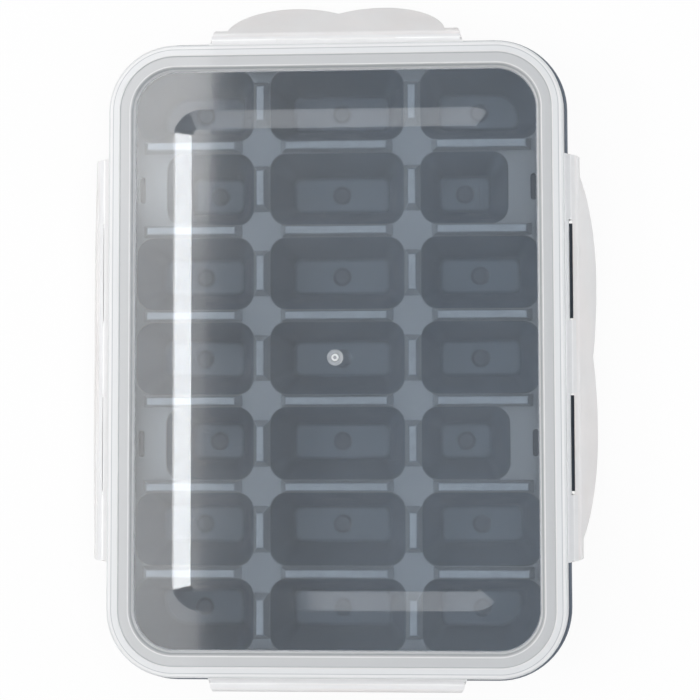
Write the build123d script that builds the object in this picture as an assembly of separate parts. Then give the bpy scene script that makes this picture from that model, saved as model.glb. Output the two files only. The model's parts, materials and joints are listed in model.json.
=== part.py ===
# Ice cube tray of twenty-one cups with a clip-down lid.
#
# The tray is one thin moulding: drafted cups hang from a deck, upstanding bars
# part the cups, and a lip and a flange run round the edge. The lid is a second
# moulding whose rim bridges the lip, with a gasket in its channel and four
# hinged flaps that hook under tongues on the tray's flange.
#
# Units are millimetres. The origin is on the underside of the middle cup, which
# is the middle of the base. X is the short side, Y the long side, Z is up.

import os
from math import cos, radians, sqrt, tan

from build123d import *

# Cups
column_pitch = 59.5
row_pitch = 33.4
cup_depth = 29.0
cup_draft = 17.0
cup_wall = 1.6
floor_thickness = 1.6
floor_bevel = 0.9
foot_bevel = 0.8
opening_radius = 6.6
floor_radius = 3.0
corner_cup_radius = 17.0
cup_edge_room = 0.4
column_web = 6.4
row_web = 4.9
dimple_radius = 4.0
dimple_base_radius = 2.6
dimple_depth = 0.6
column_count = 3
row_count = 7
short_rows = (1, 4)

# Shelves beside the short cups
shelf_width = 11.9
shelf_slot_length = 10.5
shelf_slot_width = 2.3
shelf_slot_depth = 0.9
shelf_slot_inset = 3.9

# Bars between the cups
bar_rise = 5.5
bar_width = 3.1
bar_land = 0.12
bar_bevel = 0.4
bar_end_run = 2.1
junction_gap = 19.6
bar_end_gap = 6.9

# Lip, deck and flange of the tray
end_cup_reach = 79.5
side_margin = 1.8
end_margin = 0.85
well_radius = 18.8
deck_thickness = 1.6
lip_rise = 6.8
lip_thickness = 1.8
lip_round = 0.7
flange_reach = 9.6
flange_rise = 1.1
flange_thickness = 1.6
flange_round = 0.8
flange_drop = 5.2
tongue_reach = 1.5
tongue_thickness = 2.2

# Lid
panel_clearance = 0.8
panel_thickness = 1.3
rim_rise = 5.5
rim_step = 0.6
rim_reach = 7.2
rim_slope_run = 1.4
rim_inner_round = 0.6
rim_outer_round = 1.0
panel_inset = 1.7
rim_ring_width = 4.0
skirt_draft_run = 1.0
skirt_thickness = 1.4
skirt_clearance = 0.8
channel_wall = 1.2
plateau_margin_x = 17.6
plateau_margin_y = 18.0
plateau_run = 7.7
plateau_rise = 2.2
plateau_radius = 10.7
plateau_top_radius = 3.0
gate_radius = 3.2
gate_depth = 0.4
gate_nub_radius = 1.2

# Gasket
gasket_height = 2.0
gasket_rib = 0.6
gasket_gap = 0.2
lip_side_gap = 0.3
gasket_side_gap = 0.1

# Flaps
hinge_reach = 10.6
hinge_drop = 7.1
bead_radius = 0.7
hinge_gap = 0.25
ledge_relief = 1.35
flap_height = 24.0
flap_wall = 1.9
shoulder_drop = 2.0
flap_corner = 1.0
catch_height = 1.5
catch_gap = 0.3
catch_side_gap = 0.8
tongue_side_gap = 0.5
slit_width = 1.5
valley_depth = 5.8
long_flap = 158.5
long_tab = 141.0
long_end_run = 1.4
long_peak = 29.8
long_catch_middle = 33.5
long_catch_length = 39.0
short_flap = 100.5
short_tab = 86.0
short_end_run = 2.0
short_peak = 17.6
short_catch_length = 47.0
catch_end_gap = 1.0
slit_height = 2.8

# How far each flap stands open from its latched place, in degrees
right_open_angle = 20.0
left_open_angle = 15.5
back_open_angle = 35.5
front_open_angle = 10.0

# Overlap of solids that are fused into one moulding
weld = 0.5

# How far the outline that trims a flap's ends stands clear of its face
trim_room = 0.05

# Heights
bar_top = floor_thickness + cup_depth
deck_top = bar_top - bar_rise
deck_bottom = deck_top - deck_thickness
lip_top = deck_top + lip_rise
flange_top = deck_top + flange_rise
flange_bottom = flange_top - flange_thickness
tongue_bottom = flange_top - tongue_thickness
panel_bottom = bar_top + panel_clearance
panel_top = panel_bottom + panel_thickness
rim_top = bar_top + rim_rise
inner_ring_top = rim_top - rim_step
channel_top = lip_top + gasket_gap + gasket_height
skirt_bottom = flange_top + skirt_clearance
hinge_height = rim_top - hinge_drop

# Plan sizes
slope = tan(radians(cup_draft))
opening_x = column_pitch - column_web
opening_y = row_pitch - row_web
well_x = end_cup_reach + side_margin
well_y = row_pitch * row_count / 2 - row_web / 2 + end_margin
skirt_reach = rim_reach + skirt_draft_run
flap_back_reach = flange_reach + tongue_reach + tongue_side_gap
flap_front_reach = flap_back_reach + flap_wall


def corner_loop(section, half_x, half_y, radius):
    """Carries a section round a rounded rectangle: straight sides and quarter-turn corners."""
    pieces = []
    for turn in range(4):
        reach, other = (half_x, half_y) if turn % 2 == 0 else (half_y, half_x)
        straight = other - radius
        side = extrude(side_plane(reach, straight) * section, 2 * straight)
        bend = revolve(side_plane(radius, 0) * section, Axis.Z, 90)
        corner = Pos(reach - radius, straight, 0) * bend
        pieces.append(Rot(0, 0, 90 * turn) * side)
        pieces.append(Rot(0, 0, 90 * turn) * corner)
    return pieces[0].fuse(*pieces[1:]).clean()


def side_plane(reach, start):
    """The plane that a side's section is drawn on, facing along that side."""
    return Plane(origin=(reach, start, 0), x_dir=(1, 0, 0), z_dir=(0, -1, 0))


def outline(points, rounds=()):
    """A flat section from its corner points, with the listed corners rounded."""
    radii = [0.0] * len(points)
    for number, radius in rounds:
        radii[number] = radius
    return make_face(FilletPolyline(*points, radius=radii, close=True))


def plate(half_x, half_y, radius, bottom, top):
    """A flat plate with rounded corners between two heights."""
    return Pos(0, 0, bottom) * extrude(RectangleRounded(2 * half_x, 2 * half_y, radius), top - bottom)


def cup_places():
    """Yields the x range, y range and corner sign of each cup's opening in the deck."""
    for row in range(row_count):
        middle_y = ((row_count - 1) / 2 - row) * row_pitch
        low_y, high_y = middle_y - opening_y / 2, middle_y + opening_y / 2
        for column in range(column_count):
            side = column - (column_count - 1) // 2
            if side == 0:
                low_x, high_x = -opening_x / 2, opening_x / 2
            else:
                inner = column_pitch / 2 + column_web / 2
                outer = end_cup_reach - (shelf_width if row in short_rows else 0)
                low_x, high_x = sorted((side * inner, side * outer))
            end = {0: 1, row_count - 1: -1}.get(row, 0)
            yield (low_x, high_x), (low_y, high_y), (side, end)


def cup_section(range_x, range_y, corner, grow, radius, corner_radius, height):
    """One level of a cup: its opening grown or shrunk, with one larger corner on a corner cup."""
    low_x, high_x = range_x[0] - grow, range_x[1] + grow
    low_y, high_y = range_y[0] - grow, range_y[1] + grow
    corners = [(low_x, low_y), (high_x, low_y), (high_x, high_y), (low_x, high_y)]
    signs = [(-1, -1), (1, -1), (1, 1), (-1, 1)]
    room = min(high_x - low_x, high_y - low_y) - radius - cup_edge_room
    radii = [min(corner_radius, room) if sign == corner else radius for sign in signs]
    points = [(x, y, height) for x, y in corners]
    return make_face(FilletPolyline(*points, radius=radii, close=True)).face()


def cup_solid(place, levels):
    """A ruled loft through the cup's levels: (height, growth, radius, corner radius)."""
    sections = [cup_section(*place, grow, radius, big, height) for height, grow, radius, big in levels]
    return loft(sections, ruled=True)


def cup_levels(first, last, bevel, skin, radius_growth):
    """Levels of a cup's inner or outer skin from its floor to the deck, with a bevelled foot."""
    levels = []
    for height, extra in ((first, -bevel), (first + bevel, 0.0), (last, 0.0)):
        shrink = (deck_top - height) * slope
        share = min(1.0, max(0.0, (deck_top - height) / (deck_top - floor_thickness)))
        radius = opening_radius + (floor_radius - opening_radius) * share + radius_growth + extra
        corner_radius = corner_cup_radius - shrink + radius_growth + extra
        levels.append((height, skin - shrink + extra, radius, corner_radius))
    return levels


def bar(length, middle, lengthwise):
    """One upstanding bar, drafted on its sides and sloped at its ends; the length is at its top."""
    web = row_web if lengthwise == "x" else column_web
    sections = []
    for height, long_size, wide_size in (
        (deck_top, length + 2 * bar_end_run, web - 2 * bar_land),
        (bar_top - bar_bevel, length, bar_width),
        (bar_top, length - 2 * bar_bevel, bar_width - 2 * bar_bevel),
    ):
        size = (long_size, wide_size) if lengthwise == "x" else (wide_size, long_size)
        sections.append(Pos(middle[0], middle[1], height) * Rectangle(*size).face())
    return loft(sections, ruled=True)


def make_bars():
    """The bars along every partition, broken at the junctions."""
    bars = []
    inner = column_pitch / 2 + junction_gap / 2
    outer = well_x - bar_end_gap
    for row in range(row_count - 1):
        y = ((row_count - 2) / 2 - row) * row_pitch
        bars.append(bar(column_pitch - junction_gap, (0, y), "x"))
        for side in (-1, 1):
            bars.append(bar(outer - inner, (side * (inner + outer) / 2, y), "x"))
    for row in range(row_count):
        y = ((row_count - 1) / 2 - row) * row_pitch
        for side in (-1, 1):
            bars.append(bar(row_pitch - junction_gap, (side * column_pitch / 2, y), "y"))
    return bars


def flap_sides():
    """Each side's flap: its turn about Z, the reach of its side, its opening and its own sizes.

    The long flaps are slit above each of their two catches; a short flap has one catch and no slit.
    """
    long_catches = (-long_catch_middle, long_catch_middle)
    long = {"length": long_flap, "end_run": long_end_run, "tab": long_tab, "peak": long_peak,
            "catch_length": long_catch_length, "catches": long_catches, "slits": long_catches}
    short = {"length": short_flap, "end_run": short_end_run, "tab": short_tab, "peak": short_peak,
             "catch_length": short_catch_length, "catches": (0.0,), "slits": ()}
    return {
        "flap_right": (0, well_x, right_open_angle, long),
        "flap_back": (90, well_y, back_open_angle, short),
        "flap_left": (180, well_x, left_open_angle, long),
        "flap_front": (270, well_y, front_open_angle, short),
    }


def flap_plan(reach, sizes):
    """The space seen from above that a ledge and its flap fill, with slanted ends and round corners."""
    half = sizes["length"] / 2
    front, front_half = reach + flap_front_reach + trim_room, half - sizes["end_run"]
    points = [(reach, -half), (reach + skirt_reach, -half), (front, -front_half),
              (front, front_half), (reach + skirt_reach, half), (reach, half)]
    radii = [0.0, 0.0, flap_corner, flap_corner, 0.0, 0.0]
    return extrude(make_face(FilletPolyline(*points, radius=radii, close=True)), rim_top)


def slit_notches(reach, sizes):
    """The round-ended gaps where a long flap's hinge is interrupted, above its catches."""
    notches = []
    for middle in sizes["slits"]:
        slot = SlotOverall(sizes["catch_length"], slit_width, rotation=90)
        notch = extrude(slot, slit_height / 2, both=True)
        notches.append(Pos(reach + hinge_reach - hinge_gap, middle, hinge_height) * notch)
    return notches


def make_tray():
    """Deck, cups, lip, flange and bars as one moulding."""
    edge = outline(
        [
            (-weld, deck_bottom),
            (-weld, deck_top),
            (0, deck_top),
            (0, lip_top),
            (lip_thickness, lip_top),
            (lip_thickness, flange_top),
            (flange_reach, flange_top),
            (flange_reach, flange_top - flange_drop),
            (flange_reach - flange_thickness, flange_top - flange_drop),
            (flange_reach - flange_thickness, flange_bottom),
            (lip_thickness, flange_bottom),
            (lip_thickness, deck_bottom),
        ],
        rounds=((3, lip_round), (4, lip_round), (6, flange_round)),
    )
    solids = [plate(well_x, well_y, well_radius, deck_bottom, deck_top)]
    skin = cup_wall / cos(radians(cup_draft))
    places = list(cup_places())
    body = cup_levels(0.0, deck_bottom + weld, foot_bevel, skin, skin)
    for place in places:
        solids.append(cup_solid(place, body))
    for turn, reach, opened, sizes in flap_sides().values():
        for middle in sizes["catches"]:
            width = sizes["catch_length"] - 2 * catch_end_gap
            depth = tongue_reach + flange_thickness
            tongue = Box(depth, width, tongue_thickness, align=(Align.MAX, Align.CENTER, Align.MIN))
            tongue = Pos(reach + flange_reach + tongue_reach, middle, tongue_bottom) * tongue
            solids.append(Rot(0, 0, turn) * tongue)
    tray = corner_loop(edge, well_x, well_y, well_radius).fuse(*solids)
    cuts = []
    hollow = cup_levels(floor_thickness, deck_top, floor_bevel, 0.0, 0.0)
    dimple = Cone(dimple_base_radius, dimple_radius, dimple_depth,
                  align=(Align.CENTER, Align.CENTER, Align.MAX))
    for place in places:
        cuts.append(cup_solid(place, hollow))
        middle_x = sum(place[0]) / 2
        middle_y = sum(place[1]) / 2
        cuts.append(Pos(middle_x, middle_y, floor_thickness) * dimple)
    for row in short_rows:
        y = ((row_count - 1) / 2 - row) * row_pitch
        for side in (-1, 1):
            slot = extrude(SlotOverall(shelf_slot_length, shelf_slot_width, rotation=90), -shelf_slot_depth)
            cuts.append(Pos(side * (well_x - shelf_slot_inset), y, deck_top) * slot)
    tray = tray.cut(*cuts)
    return tray.fuse(*make_bars()).clean()


def make_lid():
    """Rim, panel with its raised middle, gate mark and the ledges that the flaps hinge on."""
    channel_in = -lip_side_gap - gasket_rib
    channel_out = lip_thickness + lip_side_gap + gasket_rib
    step = rim_reach - rim_ring_width
    panel_edge = channel_in - panel_inset
    rim = outline(
        [
            (panel_edge - 2 * weld, panel_bottom),
            (panel_edge - 2 * weld, panel_top),
            (panel_edge, panel_top),
            (panel_edge + rim_slope_run, inner_ring_top),
            (step - rim_step, inner_ring_top),
            (step, rim_top),
            (rim_reach, rim_top),
            (skirt_reach, skirt_bottom),
            (skirt_reach - skirt_thickness, skirt_bottom),
            (rim_reach - skirt_thickness, rim_top - panel_thickness),
            (channel_out + gasket_side_gap + channel_wall, rim_top - panel_thickness),
            (channel_out + gasket_side_gap + channel_wall, panel_bottom),
            (channel_out + gasket_side_gap, panel_bottom),
            (channel_out + gasket_side_gap, channel_top),
            (channel_in - gasket_side_gap, channel_top),
            (channel_in - gasket_side_gap, panel_bottom),
        ],
        rounds=((3, rim_inner_round), (6, rim_outer_round)),
    )
    panel_grow = panel_edge - weld
    foot_x, foot_y = well_x - plateau_margin_x, well_y - plateau_margin_y
    raised = []
    for drop in (0.0, panel_thickness):
        low = RectangleRounded(2 * foot_x, 2 * foot_y, plateau_radius)
        high = RectangleRounded(2 * (foot_x - plateau_run), 2 * (foot_y - plateau_run), plateau_top_radius)
        sections = [Pos(0, 0, panel_top - drop) * low.face(),
                    Pos(0, 0, panel_top + plateau_rise - drop) * high.face()]
        raised.append(loft(sections, ruled=True))
    gate_top = panel_top + plateau_rise
    dish = Cylinder(gate_radius, gate_depth, align=(Align.CENTER, Align.CENTER, Align.MAX))
    dish = Pos(0, 0, gate_top) * dish
    nub = Cylinder(gate_nub_radius, gate_depth, align=(Align.CENTER, Align.CENTER, Align.MAX))
    nub = Pos(0, 0, gate_top) * nub
    panel = plate(well_x + panel_grow, well_y + panel_grow, well_radius + panel_grow,
                  panel_bottom, panel_top)
    solids = [panel, raised[0]]
    cuts = [raised[1]]
    root = rim_reach + skirt_draft_run / 2 - skirt_thickness / 2
    for turn, reach, opened, sizes in flap_sides().values():
        ledge = outline(
            [
                (root, hinge_height - bead_radius),
                (root, hinge_height + bead_radius),
                (hinge_reach - ledge_relief, hinge_height + bead_radius),
                (hinge_reach - ledge_relief, hinge_height),
                (hinge_reach, hinge_height),
                (hinge_reach, hinge_height - bead_radius),
            ]
        )
        ledge = ledge - Pos(hinge_reach, hinge_height) * Circle(bead_radius + hinge_gap)
        length = sizes["length"]
        ledge = extrude(side_plane(reach, length / 2) * ledge, length) & flap_plan(reach, sizes)
        solids.append(Rot(0, 0, turn) * ledge)
        cuts.extend(Rot(0, 0, turn) * notch for notch in slit_notches(reach, sizes))
    lid = corner_loop(rim, well_x, well_y, well_radius).fuse(*solids).cut(*cuts, dish - nub)
    return lid.clean()


def make_gasket():
    """A soft ring of U section that sits in the lid's channel and straddles the tray's lip."""
    inner = -lip_side_gap - gasket_rib
    outer = lip_thickness + lip_side_gap + gasket_rib
    bottom = lip_top + gasket_gap
    section = outline(
        [
            (inner, bottom - gasket_rib),
            (inner, channel_top),
            (outer, channel_top),
            (outer, bottom - gasket_rib),
            (outer - gasket_rib, bottom - gasket_rib),
            (outer - gasket_rib, bottom),
            (inner + gasket_rib, bottom),
            (inner + gasket_rib, bottom - gasket_rib),
        ]
    )
    return corner_loop(section, well_x, well_y, well_radius)


def tab_outline(tab, peak, top, bottom):
    """The grip edge of a flap: two round humps with a valley between them."""
    half = tab / 2
    depth = top - bottom
    run = half - peak
    outer_radius = (run * run + depth * depth) / (2 * depth)
    inner_radius = (peak * peak + valley_depth * valley_depth) / (2 * valley_depth)
    outer_mid = (peak + run / 2, bottom + outer_radius - sqrt(outer_radius**2 - (run / 2) ** 2))
    inner_mid = (peak / 2, bottom + inner_radius - sqrt(inner_radius**2 - (peak / 2) ** 2))
    valley = (0, bottom + valley_depth)
    right = [
        ThreePointArc((half, top), outer_mid, (peak, bottom)),
        ThreePointArc((peak, bottom), inner_mid, valley),
    ]
    left = [
        ThreePointArc((-half, top), (-outer_mid[0], outer_mid[1]), (-peak, bottom)),
        ThreePointArc((-peak, bottom), (-inner_mid[0], inner_mid[1]), valley),
    ]
    return make_face(right + left + [Line((half, top), (-half, top))])


def make_flap(turn, reach, opened, sizes):
    """One flap: hinge bead, shoulder, grip tab and catch, turned out from its latched place."""
    back, front = flap_back_reach, flap_front_reach
    top = hinge_height + bead_radius
    shoulder = outline(
        [
            (hinge_reach, hinge_height - bead_radius),
            (hinge_reach, top),
            (front, top),
            (front, top - shoulder_drop - bead_radius),
            (back, top - shoulder_drop - bead_radius),
            (back, hinge_height - bead_radius),
        ],
        rounds=((2, flap_corner),),
    )
    shoulder = shoulder + Pos(hinge_reach, hinge_height) * Circle(bead_radius)
    flap = extrude(side_plane(reach, sizes["length"] / 2) * shoulder, sizes["length"])
    flap = flap & flap_plan(reach, sizes)
    face = tab_outline(sizes["tab"], sizes["peak"], top - shoulder_drop, hinge_height - flap_height)
    facing = Plane(origin=(reach + back, 0, 0), x_dir=(0, 1, 0), z_dir=(1, 0, 0))
    solids = [extrude(facing * face, flap_wall)]
    catch_top = tongue_bottom - catch_gap
    catch_tip = flange_reach + catch_side_gap
    catch = outline(
        [
            (back + flap_wall / 2, catch_top),
            (catch_tip, catch_top),
            (catch_tip, catch_top - catch_height / 2),
            (back, catch_top - 2 * catch_height),
            (back + flap_wall / 2, catch_top - 2 * catch_height),
        ]
    )
    width = sizes["catch_length"] - 2 * catch_end_gap
    for middle in sizes["catches"]:
        solids.append(extrude(side_plane(reach, middle + width / 2) * catch, width))
    flap = flap.fuse(*solids).cut(*slit_notches(reach, sizes)).clean()
    hinge = Axis((reach + hinge_reach, 0, hinge_height), (0, -1, 0))
    return Rot(0, 0, turn) * flap.rotate(hinge, opened)


def save(shape, name):
    """Writes one node and prints what it holds."""
    export_step(shape, f"parts/{name}.step")
    print(name, "solids", len(shape.solids()), "volume", round(shape.volume))


os.makedirs("parts", exist_ok=True)
save(make_tray(), "tray")
save(make_lid(), "lid")
save(make_gasket(), "lid_gasket")
for flap_name, flap_side in flap_sides().items():
    save(make_flap(*flap_side), flap_name)
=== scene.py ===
import json
import math

import bmesh
import bpy
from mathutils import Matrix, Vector


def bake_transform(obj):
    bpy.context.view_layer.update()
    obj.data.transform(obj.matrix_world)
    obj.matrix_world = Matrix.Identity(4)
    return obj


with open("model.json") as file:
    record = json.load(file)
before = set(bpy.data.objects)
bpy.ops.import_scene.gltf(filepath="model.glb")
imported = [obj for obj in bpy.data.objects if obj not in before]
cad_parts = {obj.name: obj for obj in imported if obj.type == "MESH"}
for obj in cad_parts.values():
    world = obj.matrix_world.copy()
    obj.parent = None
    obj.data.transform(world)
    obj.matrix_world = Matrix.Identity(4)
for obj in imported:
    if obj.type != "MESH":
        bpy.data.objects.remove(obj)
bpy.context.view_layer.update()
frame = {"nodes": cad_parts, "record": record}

# The tray: one deep moulding of charcoal polypropylene with twenty-one drafted
# cups, upstanding bars between them, and a lip and flange round its edge. The
# cups keep the plain charcoal; the deck, bar tops and cup floors carry painted
# light, and the slots and floor dimples carry painted shade.
tray_dark = (0.098, 0.122, 0.156, 1.0)
tray_pale = (0.122, 0.148, 0.184, 1.0)
# The next six colours are painted light and shade: a paler deck, shelves, bar tops and cup floors for the
# light falling on them, and dark slots and dimples for their shade.
tray_deck_painted_light = (0.292, 0.315, 0.338, 1.0)
tray_shelf_painted_light = (0.290, 0.300, 0.308, 1.0)
tray_top_painted_light = (0.400, 0.438, 0.475, 1.0)
tray_floor_painted_light = (0.124, 0.158, 0.200, 1.0)
tray_slot_painted_shade = (0.020, 0.022, 0.026, 1.0)
tray_dimple_painted_shade = (0.066, 0.084, 0.110, 1.0)
tray_foot_height = 0.0009
tray_floor_height = 0.0016
tray_slot_height = 0.0242
tray_deck_height = 0.0251
tray_bar_height = 0.0306
tray_shelf_start = 0.0560
tray_shelf_full = 0.0700
tray_well_half_x = 0.0813
tray_well_half_y = 0.1153
tray_well_radius = 0.0188
tray_well_fade = 0.0002
tray_edge_round = 0.0006
tray_satin = (0.34, 0.44)
tray_speck_matt = 0.06
tray_burnish = 0.45
tray_burnish_start = 0.0012
tray_burnish_full = 0.0004
grain_roughness = 0.55
edge_shade_samples = 6


def new_material(name):
    """A material with one Principled shader; returns it with its tree and the shader."""
    made = bpy.data.materials.new(name)
    made.use_nodes = True
    tree = made.node_tree
    tree.nodes.clear()
    shader = tree.nodes.new("ShaderNodeBsdfPrincipled")
    output = tree.nodes.new("ShaderNodeOutputMaterial")
    tree.links.new(shader.outputs[0], output.inputs["Surface"])
    return made, tree, shader


def feed(tree, socket, value):
    """Links a node's first output or an output to a socket, or sets a plain value on it."""
    if isinstance(value, bpy.types.Node):
        value = value.outputs[0]
    if isinstance(value, bpy.types.NodeSocket):
        tree.links.new(value, socket)
    else:
        socket.default_value = value


def spot(tree):
    """Where on the piece a point lies, in metres."""
    return tree.nodes.new("ShaderNodeTexCoord").outputs["Object"]


def axes_of(tree, vector):
    """The three parts of a vector."""
    parts = tree.nodes.new("ShaderNodeSeparateXYZ")
    feed(tree, parts.inputs[0], vector)
    return parts.outputs


def calculate(tree, operation, *values):
    """The result of one math node."""
    made = tree.nodes.new("ShaderNodeMath")
    made.operation = operation
    for number, value in enumerate(values):
        feed(tree, made.inputs[number], value)
    return made.outputs[0]


def plus(tree, first, second):
    """Two values added."""
    return calculate(tree, "ADD", first, second)


def times(tree, first, second):
    """Two values multiplied, which for shares from 0 to 1 tells where both hold."""
    return calculate(tree, "MULTIPLY", first, second)


def distance(tree, first, second):
    """How far off a point is that lies so far one way and so far across it."""
    squares = plus(tree, times(tree, first, first), times(tree, second, second))
    return calculate(tree, "SQRT", squares)


def between(tree, value, low, high, out_low=0.0, out_high=1.0):
    """Eases a value from one range into another, held at both ends."""
    made = tree.nodes.new("ShaderNodeMapRange")
    made.interpolation_type = "SMOOTHSTEP"
    feed(tree, made.inputs["Value"], value)
    for name, number in (("From Min", low), ("From Max", high), ("To Min", out_low), ("To Max", out_high)):
        made.inputs[name].default_value = number
    return made.outputs[0]


def above(tree, height, level, start, full=0.0):
    """One above a level; it eases in from `start` under the level to `full` under it."""
    return between(tree, height, level - start, level - full)


def below(tree, height, level, start, full=0.0):
    """One below a level; it eases in from `start` over the level to `full` over it."""
    return between(tree, height, level + start, level + full)


def grain(tree, per_metre, detail=3.0, stretch=(1.0, 1.0, 1.0)):
    """Noise from 0 to 1 over the piece, with so many grains in a metre."""
    mapping = tree.nodes.new("ShaderNodeMapping")
    feed(tree, mapping.inputs["Vector"], spot(tree))
    mapping.inputs["Scale"].default_value = stretch
    noise = tree.nodes.new("ShaderNodeTexNoise")
    feed(tree, noise.inputs["Vector"], mapping)
    noise.inputs["Scale"].default_value = per_metre
    noise.inputs["Detail"].default_value = detail
    noise.inputs["Roughness"].default_value = grain_roughness
    return noise.outputs[0]


def mottle(tree, per_metre, values=(0.0, 1.0), detail=3.0, spread=(0.3, 0.7)):
    """Soft patches of two values, which change from one to the other where the noise crosses its spread."""
    return between(tree, grain(tree, per_metre, detail), *spread, *values)


def blend_colours(tree, share, first, second):
    """Two colours mixed by a share from 0 to 1."""
    made = tree.nodes.new("ShaderNodeMix")
    made.data_type = "RGBA"
    feed(tree, made.inputs[0], share)
    feed(tree, made.inputs[6], first)
    feed(tree, made.inputs[7], second)
    return made.outputs[2]


def raise_by(tree, shader, height, depth, strength=0.5, edge_round=None):
    """Bump on a shader from a height, where 1 is worth so many metres, with edges that shade as rounded."""
    bump = tree.nodes.new("ShaderNodeBump")
    bump.inputs["Strength"].default_value = strength
    bump.inputs["Distance"].default_value = depth
    feed(tree, bump.inputs["Height"], height)
    if edge_round is not None:
        rounded = tree.nodes.new("ShaderNodeBevel")
        rounded.samples = edge_shade_samples
        feed(tree, rounded.inputs["Radius"], edge_round)
        feed(tree, bump.inputs["Normal"], rounded)
    feed(tree, shader.inputs["Normal"], bump)


def past_rounded(tree, half_x, half_y, radius):
    """How far a point lies outside a rounded rectangle, in metres; negative inside it."""
    place = axes_of(tree, spot(tree))
    over_x = calculate(tree, "SUBTRACT", calculate(tree, "ABSOLUTE", place[0]), half_x - radius)
    over_y = calculate(tree, "SUBTRACT", calculate(tree, "ABSOLUTE", place[1]), half_y - radius)
    out_x = calculate(tree, "MAXIMUM", over_x, 0.0)
    out_y = calculate(tree, "MAXIMUM", over_y, 0.0)
    inside = calculate(tree, "MINIMUM", calculate(tree, "MAXIMUM", over_x, over_y), 0.0)
    return calculate(tree, "SUBTRACT", plus(tree, distance(tree, out_x, out_y), inside), radius)


def charcoal_plastic():
    """Satin polypropylene: cloudy charcoal with a fine grain, with painted light on its deck, bar tops and
    cup floors and painted shade in its slots and dimples.
    """
    made, tree, shader = new_material("charcoal_plastic")
    place = axes_of(tree, spot(tree))
    height = place[2]
    by_side = between(tree, calculate(tree, "ABSOLUTE", place[0]), tray_shelf_start, tray_shelf_full)
    base = blend_colours(tree, mottle(tree, per_metre=38.0, detail=4.0), tray_dark, tray_pale)

    past_well = past_rounded(tree, tray_well_half_x, tray_well_half_y, tray_well_radius)
    in_well = between(tree, past_well, tray_well_fade, -tray_well_fade)
    # Painted light: the deck, shelves and bars are painted paler than the cups, for the light that falls on
    # these high faces.
    on_deck = above(tree, height, tray_deck_height, start=0.0009, full=0.0001)
    deck = blend_colours(tree, by_side, tray_deck_painted_light, tray_shelf_painted_light)
    base = blend_colours(tree, times(tree, in_well, on_deck), base, deck)

    # Painted shade: the floors of the side slots are painted nearly black, for the shade in these recesses.
    over_slot = above(tree, height, tray_slot_height, start=0.00012, full=0.00004)
    under_slot = below(tree, height, tray_slot_height, start=0.0004, full=0.0002)
    in_slot = times(tree, times(tree, over_slot, under_slot), by_side)
    base = blend_colours(tree, in_slot, base, tray_slot_painted_shade)

    # Painted light: the cup floors are painted a little lighter than the cup walls, for the light that falls
    # on them from above.
    on_floor = below(tree, height, tray_floor_height, start=0.0006)
    base = blend_colours(tree, on_floor, base, tray_floor_painted_light)

    # Painted light: the bar tops are painted paler still, in soft patches, for the light and sheen that fall
    # on them.
    light_patches = mottle(tree, per_metre=260.0, values=(0.7, 1.0), detail=4.0, spread=(0.35, 0.7))
    lit_top_share = times(tree, above(tree, height, tray_bar_height, start=0.0006), light_patches)
    base = blend_colours(tree, lit_top_share, base, tray_top_painted_light)

    # Painted shade: the dimples sunk in the cup floors are painted darker, for the shade in these hollows.
    under_floor = below(tree, height, tray_floor_height, start=0.0, full=-0.0002)
    over_foot = above(tree, height, tray_foot_height, start=0.0001)
    base = blend_colours(tree, times(tree, under_floor, over_foot), base, tray_dimple_painted_shade)
    feed(tree, shader.inputs["Base Color"], base)

    satin = mottle(tree, per_metre=90.0, values=tray_satin)
    speck = mottle(tree, per_metre=1400.0, detail=2.0, spread=(0.35, 0.65))
    matt = plus(tree, satin, times(tree, speck, tray_speck_matt))
    burnish = between(tree, height, tray_bar_height - tray_burnish_start,
                      tray_bar_height - tray_burnish_full, 1.0, tray_burnish)
    feed(tree, shader.inputs["Roughness"], times(tree, matt, burnish))
    raise_by(tree, shader, grain(tree, per_metre=2600.0), depth=0.00003, edge_round=tray_edge_round)
    return made


def finish_node(name, material):
    """Gives a carried-over piece its finish."""
    piece = frame["nodes"][name]
    piece.data.materials.clear()
    piece.data.materials.append(material)


finish_node("tray", charcoal_plastic())

# The lid: one moulding of natural polypropylene. Its raised middle panel is
# polished and nearly clear; the rim, the skirt and the ledges that the flaps
# hang on are frosted and milky, with painted shade on the rim's inner ring and
# in thin lines along its steps, painted highlights along its edges, and painted
# light on the ledges. The gate mark sits in the panel's middle.
lid_white = (0.90, 0.91, 0.92, 1.0)
# Painted shade on the rim's inner ring:
lid_ring_painted_shade = (0.68, 0.69, 0.70, 1.0)
lid_clear = (0.90, 0.95, 1.0, 1.0)
# Painted light on the ledges, which lie in the rim's shade:
lid_ledge_painted_light = (0.985, 0.985, 0.985, 1.0)
# Painted highlight along the rim's edges, and painted shade in thin lines along its steps:
lid_painted_highlight = (1.0, 1.0, 1.0, 1.0)
lid_shade = (0.50, 0.52, 0.54, 1.0)
lid_smudge = (0.0, 0.04)
lid_polish = 0.07
lid_frost = (0.42, 0.52)
lid_clarity = (0.972, 0.957)
lid_rim_clarity = 0.18
lid_ledge_clarity = 0.06
lid_coat = 0.4
lid_coat_roughness = 0.03
lid_ledge_height = 0.0344
lid_ledge_fade = 0.0010
lid_edge_round = 0.0005
lid_ripple = 0.005
flow_line_share = 0.4
flow_line_stretch = (1.0, 0.05, 1.0)
plastic_index = 1.49
window_half_x = 0.0787
window_half_y = 0.1127
window_radius = 0.0162
window_fade = 0.0007
ring_joint = 0.0058
ring_joint_fade = 0.0004
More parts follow.
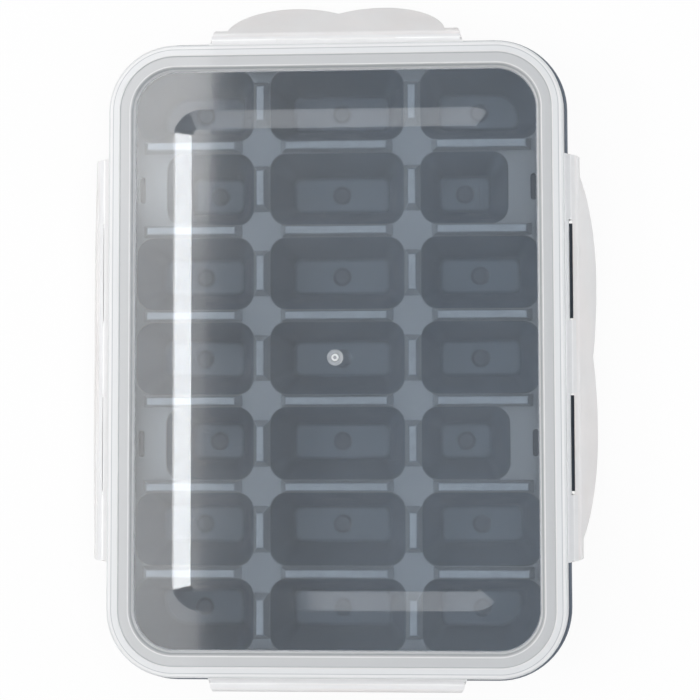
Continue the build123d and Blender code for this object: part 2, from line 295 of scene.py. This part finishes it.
# Thin painted highlights and painted shade lines on the rim, each as (distance from the window, half width):
rim_highlight_lines = ((0.0016, 0.0004), (ring_joint, 0.0004), (0.0087, 0.0006))
rim_shade_lines = ((0.0008, 0.0005), (0.0054, 0.0002), (0.0080, 0.0002))
gate_ring = 0.0032
gate_ring_fade = 0.0002
gate_ring_milk = 0.30
gate_dish = 0.0017
gate_nub = 0.0013
gate_hollow = 0.0008
gate_hollow_fade = 0.0003
gate_depth = 0.0005


def blend_numbers(tree, share, first, second):
    """Two numbers mixed by a share from 0 to 1."""
    made = tree.nodes.new("ShaderNodeMix")
    feed(tree, made.inputs[0], share)
    feed(tree, made.inputs[2], first)
    feed(tree, made.inputs[3], second)
    return made.outputs[0]


def line_at(tree, value, middle, half):
    """One along a thin line where a value passes its middle, falling to nothing on both sides."""
    before = between(tree, value, middle - half, middle)
    after = between(tree, value, middle + half, middle)
    return times(tree, before, after)


def gate_mark(tree):
    """The dish that the gate leaves in the panel: its height from 0 to 1, and the share of milky plastic."""
    place = axes_of(tree, spot(tree))
    away = distance(tree, place[0], place[1])
    dish = between(tree, away, gate_dish, gate_ring)
    on_nub = between(tree, away, gate_dish, gate_nub)
    nub = times(tree, on_nub, between(tree, away, 0.0, gate_hollow))
    milky = times(tree, on_nub, between(tree, away, gate_hollow - gate_hollow_fade, gate_hollow))
    ring = between(tree, away, gate_ring + gate_ring_fade, gate_ring - gate_ring_fade, 0.0, gate_ring_milk)
    return plus(tree, dish, nub), calculate(tree, "MAXIMUM", milky, ring)


def lid_plastic():
    """Natural polypropylene: a polished window with faint smudges inside a frosted rim, with painted shade,
    painted highlights and painted light on the rim and ledges.
    """
    made, tree, shader = new_material("lid_plastic")
    outward = past_rounded(tree, window_half_x, window_half_y, window_radius)
    frost = between(tree, outward, -window_fade, window_fade)
    on_ledge = below(tree, axes_of(tree, spot(tree))[2], lid_ledge_height, start=lid_ledge_fade)
    dish, milky = gate_mark(tree)

    # Painted shade: the rim's inner ring, inside the joint, is painted grey.
    past_joint = between(tree, outward, ring_joint - ring_joint_fade, ring_joint)
    rim = blend_colours(tree, past_joint, lid_ring_painted_shade, lid_white)
    # Painted light: the ledges are painted whiter, for the shade the rim casts on them.
    rim = blend_colours(tree, on_ledge, rim, lid_ledge_painted_light)
    # Painted highlights along the rim's rounded edges and painted shade in thin lines along its steps.
    for lines, colour in ((rim_shade_lines, lid_shade), (rim_highlight_lines, lid_painted_highlight)):
        for middle, half in lines:
            rim = blend_colours(tree, line_at(tree, outward, middle, half), rim, colour)
    base = blend_colours(tree, frost, lid_clear, rim)
    feed(tree, shader.inputs["Base Color"], blend_colours(tree, milky, base, lid_white))

    smudge = mottle(tree, per_metre=30.0, values=lid_smudge, detail=5.0, spread=(0.35, 0.7))
    polished = plus(tree, smudge, lid_polish)
    frosted_rim = mottle(tree, per_metre=220.0, values=lid_frost)
    feed(tree, shader.inputs["Roughness"], blend_numbers(tree, frost, polished, frosted_rim))

    window_clarity = mottle(tree, per_metre=18.0, values=lid_clarity, detail=4.0)
    frosted_clarity = between(tree, on_ledge, 0.0, 1.0, lid_rim_clarity, lid_ledge_clarity)
    cloudy = calculate(tree, "MAXIMUM", frost, milky)
    clarity = blend_numbers(tree, cloudy, window_clarity, frosted_clarity)
    feed(tree, shader.inputs["Transmission Weight"], clarity)
    shader.inputs["IOR"].default_value = plastic_index
    shader.inputs["Coat Weight"].default_value = lid_coat
    shader.inputs["Coat Roughness"].default_value = lid_coat_roughness

    flow_lines = grain(tree, per_metre=420.0, detail=2.0, stretch=flow_line_stretch)
    ripple = plus(tree, grain(tree, per_metre=1700.0, detail=2.0), times(tree, flow_lines, flow_line_share))
    relief = plus(tree, times(tree, ripple, lid_ripple), dish)
    raise_by(tree, shader, relief, gate_depth, strength=1.0, edge_round=times(tree, frost, lid_edge_round))
    return made


finish_node("lid", lid_plastic())

# The gasket: a soft white silicone ring of U section, pressed into the lid's
# channel, whose two ribs straddle the tray's lip.
silicone_white = (0.70, 0.71, 0.71, 1.0)
silicone_grey = (0.60, 0.61, 0.62, 1.0)
silicone_matt = (0.5, 0.66)


def silicone():
    """Matt silicone with a powdery bloom."""
    made, tree, shader = new_material("silicone")
    bloom = mottle(tree, per_metre=70.0, detail=4.0)
    feed(tree, shader.inputs["Base Color"], blend_colours(tree, bloom, silicone_grey, silicone_white))
    feed(tree, shader.inputs["Roughness"], mottle(tree, per_metre=300.0, values=silicone_matt))
    raise_by(tree, shader, grain(tree, per_metre=1500.0), depth=0.00003)
    return made


finish_node("lid_gasket", silicone())

# The four flaps: frosted polypropylene tabs with two round humps, moulded with
# the lid and hinged on it by thin film. Each one hooks under the tray's tongues.
flap_white = (0.935, 0.93, 0.93, 1.0)
flap_warm = (0.945, 0.915, 0.905, 1.0)
flap_frost = (0.4, 0.5)
flap_clarity = (0.14, 0.22)
flap_coat = 0.3
flap_coat_roughness = 0.12
flap_edge_round = 0.0005


def frosted_plastic():
    """Milky polypropylene with a fine matt grain and slightly warmer, thinner patches."""
    made, tree, shader = new_material("frosted_plastic")
    cloud = mottle(tree, per_metre=26.0, detail=4.0, spread=(0.35, 0.65))
    feed(tree, shader.inputs["Base Color"], blend_colours(tree, cloud, flap_white, flap_warm))
    feed(tree, shader.inputs["Roughness"], mottle(tree, per_metre=240.0, values=flap_frost))
    feed(tree, shader.inputs["Transmission Weight"], mottle(tree, per_metre=60.0, values=flap_clarity))
    shader.inputs["IOR"].default_value = plastic_index
    shader.inputs["Coat Weight"].default_value = flap_coat
    shader.inputs["Coat Roughness"].default_value = flap_coat_roughness
    raise_by(tree, shader, grain(tree, per_metre=1900.0), depth=0.000015, edge_round=flap_edge_round)
    return made


frosted = frosted_plastic()
for flap in ("flap_right", "flap_back", "flap_left", "flap_front"):
    finish_node(flap, frosted)

# The film hinges: where the moulding thins to half a millimetre between the
# lid's ledge and each flap, stretched white by its first bends, with a painted
# highlight along the crease over the hinge. The right flap's two slits stand
# open, and the slits of the others close to a hairline.
web_thickness = 0.0005
web_seat = 0.00072
web_lid_run = 0.0019
web_flap_run = 0.0016
web_fold = 0.00035
web_fold_steps = 4
web_white = (1.0, 1.0, 1.0, 1.0)
web_grey = (0.90, 0.90, 0.905, 1.0)
web_milk = (0.0, 0.3)
web_frost = (0.46, 0.52)
web_clarity = 0.12
web_crease = 0.0004
web_crease_clarity = 0.02
slit_gap = 0.0001
long_web_end = 0.0784
long_slit_start = 0.0140
long_slit_end = 0.0533
short_web_end = 0.0491
short_slit_end = 0.0235


def closed_slit(start, end):
    """The two halves of the film along a closed slit, clear of the whole film at both ends."""
    return (("ledge", start + slit_gap, end - slit_gap), ("flap", start + slit_gap, end - slit_gap))


long_web = (("whole", -long_web_end, -long_slit_end),
            ("whole", -long_slit_start, long_slit_start),
            ("whole", long_slit_end, long_web_end))
left_slits = closed_slit(-long_slit_end, -long_slit_start) + closed_slit(long_slit_start, long_slit_end)
short_web = (("whole", -short_web_end, -short_slit_end),
             *closed_slit(-short_slit_end, short_slit_end),
             ("whole", short_slit_end, short_web_end))
webs = {"flap_right": long_web, "flap_back": short_web,
        "flap_left": long_web + left_slits, "flap_front": short_web}
hinges = [joint for joint in frame["record"]["behaviour"]["joints"] if joint["child"] in webs]


def stretched_film(name, across):
    """Drawn polypropylene: as frosted as the ledge, with a crease over the hinge that is partly
    stress-whitened and partly a painted highlight.
    """
    made, tree, shader = new_material(name)
    reach = max(abs(hinge["pos_m"][across]) for hinge in hinges)
    from_middle = calculate(tree, "ABSOLUTE", axes_of(tree, spot(tree))[across])
    from_hinge = calculate(tree, "SUBTRACT", from_middle, reach)
    # Partly painted highlight: the crease over the hinge is painted white and made less clear, partly for its
    # stress whitening and partly for the glint along it.
    crease = line_at(tree, from_hinge, -web_crease / 2, web_crease)
    film = blend_colours(tree, mottle(tree, per_metre=120.0, values=web_milk), web_grey, web_white)
    feed(tree, shader.inputs["Base Color"], blend_colours(tree, crease, film, web_white))
    feed(tree, shader.inputs["Roughness"], mottle(tree, per_metre=240.0, values=web_frost))
    clarity = between(tree, crease, 0.0, 1.0, web_clarity, web_crease_clarity)
    feed(tree, shader.inputs["Transmission Weight"], clarity)
    shader.inputs["IOR"].default_value = plastic_index
    raise_by(tree, shader, grain(tree, per_metre=1900.0), depth=0.000008)
    return made


def web_path(angle, part):
    """Points over the hinge from the ledge to the flap, as (outward, up) from its axis."""
    bend = Vector((-web_seat * math.tan(angle / 2), web_seat))
    away = Vector((math.cos(angle), math.sin(angle)))
    normal = Vector((-math.sin(angle), math.cos(angle)))
    ledge_end = Vector((-web_lid_run, web_seat))
    flap_end = away * web_flap_run + normal * web_seat
    if part == "ledge":
        return [ledge_end, bend - Vector((slit_gap, 0.0))]
    if part == "flap":
        return [bend + away * slit_gap, flap_end]
    before = bend - Vector((web_fold, 0.0))
    after = bend + away * web_fold
    steps = [step / web_fold_steps for step in range(web_fold_steps + 1)]
    fold = [before * (1 - t) ** 2 + bend * 2 * t * (1 - t) + after * t ** 2 for t in steps]
    return [ledge_end] + fold + [flap_end]


def put_in_order(strips):
    """Numbers corners and faces by where they lie, so that the mesh comes out the same each run."""
    for number, corner in enumerate(sorted(strips.verts, key=lambda corner: corner.co[:])):
        corner.index = number
    strips.verts.sort()
    for number, face in enumerate(sorted(strips.faces, key=lambda face: sorted(v.index for v in face.verts))):
        face.index = number
    strips.faces.sort()


def film_web(name, hinge, strips_of_film, material):
    """Strips of film along one hinge, drawn out from their path and given their thickness."""
    centre = Vector(hinge["pos_m"])
    along = Vector(hinge["axis"])
    up = Vector((0.0, 0.0, 1.0))
    outward = up.cross(along)
    open_angle = math.radians(-hinge["range_deg"][0])
    strips = bmesh.new()
    for part, start, end in strips_of_film:
        path = web_path(open_angle, part)
        corners = [strips.verts.new(centre + outward * u + up * w + along * start) for u, w in path]
        edges = [strips.edges.new(pair) for pair in zip(corners, corners[1:])]
        drawn = bmesh.ops.extrude_edge_only(strips, edges=edges)["geom"]
        moved = [corner for corner in drawn if isinstance(corner, bmesh.types.BMVert)]
        bmesh.ops.translate(strips, verts=moved, vec=along * (end - start))
    for face in strips.faces:
        face.normal_update()
        if face.normal.z < 0:
            face.normal_flip()
    bmesh.ops.solidify(strips, geom=strips.faces[:], thickness=web_thickness)
    bmesh.ops.recalc_face_normals(strips, faces=strips.faces[:])
    put_in_order(strips)
    mesh = bpy.data.meshes.new(name)
    strips.to_mesh(mesh)
    strips.free()
    web = bpy.data.objects.new(name, mesh)
    bpy.context.scene.collection.objects.link(web)
    mesh.materials.append(material)
    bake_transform(web)


film_long = stretched_film("film_long", across=0)
film_short = stretched_film("film_short", across=1)
for hinge in hinges:
    film = film_short if hinge["child"] in ("flap_back", "flap_front") else film_long
    film_web(hinge["child"] + "_web", hinge, webs[hinge["child"]], film)

# The table: a plain white board that keeps the object's soft shadow. It looks
# white to the eye without throwing any more light on the object.
floor_half = 1.6
floor_white = (0.9, 0.9, 0.9, 1.0)
floor_roughness = 0.9
floor_glow = 0.94


def seen_straight(tree):
    """One for what the camera sees, directly or in a gloss or through the plastic, before any matt bounce."""
    path = tree.nodes.new("ShaderNodeLightPath")
    looked = calculate(tree, "MAXIMUM", path.outputs["Is Camera Ray"], path.outputs["Is Glossy Ray"])
    looked = calculate(tree, "MAXIMUM", looked, path.outputs["Is Transmission Ray"])
    matt = calculate(tree, "MINIMUM", path.outputs["Diffuse Depth"], 1.0)
    return times(tree, looked, calculate(tree, "SUBTRACT", 1.0, matt))


def white_floor():
    """White board that glows to the eye, so that it stays white beside the shadow."""
    made, tree, shader = new_material("white_floor")
    shader.inputs["Base Color"].default_value = floor_white
    shader.inputs["Roughness"].default_value = floor_roughness
    glow = tree.nodes.new("ShaderNodeEmission")
    mix = tree.nodes.new("ShaderNodeMixShader")
    feed(tree, mix.inputs[0], times(tree, seen_straight(tree), floor_glow))
    feed(tree, mix.inputs[1], shader)
    feed(tree, mix.inputs[2], glow)
    feed(tree, tree.nodes["Material Output"].inputs["Surface"], mix)
    return made


board = bmesh.new()
bmesh.ops.create_grid(board, x_segments=1, y_segments=1, size=floor_half)
floor_mesh = bpy.data.meshes.new("floor")
board.to_mesh(floor_mesh)
board.free()
floor = bpy.data.objects.new("floor", floor_mesh)
bpy.context.scene.collection.objects.link(floor)
floor_mesh.materials.append(white_floor())

# The light: a soft box on the left, which the lid's panel mirrors as a stripe, a
# broad one over the left side, and softer ones beyond the far and near ends, on
# the right and overhead. All round is a white room under a cool grey ceiling.
over_tint = (1.0, 0.975, 0.95)
over_dim_step = (0.0, 0.12)
over_dim_share = 0.36
over_bright_step = (0.23, 0.33)
over_bright_share = 0.64
over_end_step = (0.37, 0.28)
over_end_share = 0.53
room_level = 0.23
room_white = (1.0, 1.0, 1.0, 1.0)
ceiling_tint = (0.88, 1.02, 1.20, 1.0)
ceiling_left = 0.45
ceiling_right = 0.52
ceiling_turn = (-0.24, 0.0)
ceiling_rim = (0.85, 0.4)


def soft_box(name, place, length, width, watts):
    """A rectangular lamp that faces the middle of the tray; its length runs level."""
    lamp = bpy.data.lights.new(name, "AREA")
    lamp.shape = "RECTANGLE"
    lamp.size = length
    lamp.size_y = width
    lamp.energy = watts
    made = bpy.data.objects.new(name, lamp)
    bpy.context.scene.collection.objects.link(made)
    made.location = place
    away = Vector(place).normalized()
    made.rotation_euler = away.to_track_quat("Z", "Y").to_euler()
    return made


def fade_out(box):
    """Dims a soft box in two steps towards its inner edge, and to about half away from its far end."""
    box.data.use_nodes = True
    tree = box.data.node_tree
    place = axes_of(tree, tree.nodes.new("ShaderNodeNewGeometry").outputs["Parametric"])
    dim = between(tree, place[1], *over_dim_step, 0.0, over_dim_share)
    bright = between(tree, place[1], *over_bright_step, 0.0, over_bright_share)
    end = between(tree, place[0], *over_end_step, over_end_share, 1.0)
    feed(tree, tree.nodes["Emission"].inputs["Strength"], times(tree, plus(tree, dim, bright), end))


soft_box("key_box", place=(-0.74, 0.0, 0.80), length=0.72, width=0.22, watts=3.8)
over_box = soft_box("over_box", place=(-0.540, 0.012, 1.12), length=1.0, width=0.6, watts=6.2)
over_box.data.color = over_tint
fade_out(over_box)
soft_box("far_box", place=(-0.05, 0.85, 0.85), length=0.9, width=0.45, watts=1.5)
soft_box("near_box", place=(0.21, -0.85, 0.85), length=0.68, width=0.4, watts=1.0)
soft_box("right_box", place=(1.25, 0.1, 0.45), length=0.9, width=0.5, watts=4.0)
soft_box("top_box", place=(0.40, 0.05, 1.15), length=0.8, width=0.26, watts=3.0)

world = bpy.data.worlds.new("room")
world.use_nodes = True
bpy.context.scene.world = world
room_tree = world.node_tree
room = room_tree.nodes["Background"]
toward = axes_of(room_tree, room_tree.nodes.new("ShaderNodeTexCoord").outputs["Generated"])
rightness = between(room_tree, toward[0], *ceiling_turn)
wall_share = between(room_tree, toward[2], *ceiling_rim)
ceiling_colour = blend_colours(room_tree, rightness, room_white, ceiling_tint)
feed(room_tree, room.inputs["Color"], blend_colours(room_tree, wall_share, ceiling_colour, room_white))
ceiling = between(room_tree, rightness, 0.0, 1.0, ceiling_left, ceiling_right)
shown = blend_numbers(room_tree, wall_share, ceiling, 1.0)
strength = blend_numbers(room_tree, seen_straight(room_tree), room_level, shown)
feed(room_tree, room.inputs["Strength"], strength)

# The camera: nearly overhead, a little to the right, as the photograph looks.
# The small shift sets the tray where it lies in the square picture.
sensor_mm = 36.0
lens_mm = 79.07
near_clip = 0.01
camera_place = (0.0560, -0.0098, 0.6270)
camera_turn = (3.08, 2.88, -0.25)
picture_shift = (-0.0755, -0.0721)
lens = bpy.data.cameras.new("camera")
lens.sensor_width = sensor_mm
lens.lens = lens_mm
lens.shift_x, lens.shift_y = picture_shift
lens.clip_start = near_clip
camera = bpy.data.objects.new("camera", lens)
bpy.context.scene.collection.objects.link(camera)
camera.location = camera_place
camera.rotation_euler = [math.radians(turn) for turn in camera_turn]
bpy.context.scene.camera = camera
bpy.context.scene.view_settings.view_transform = "Standard"
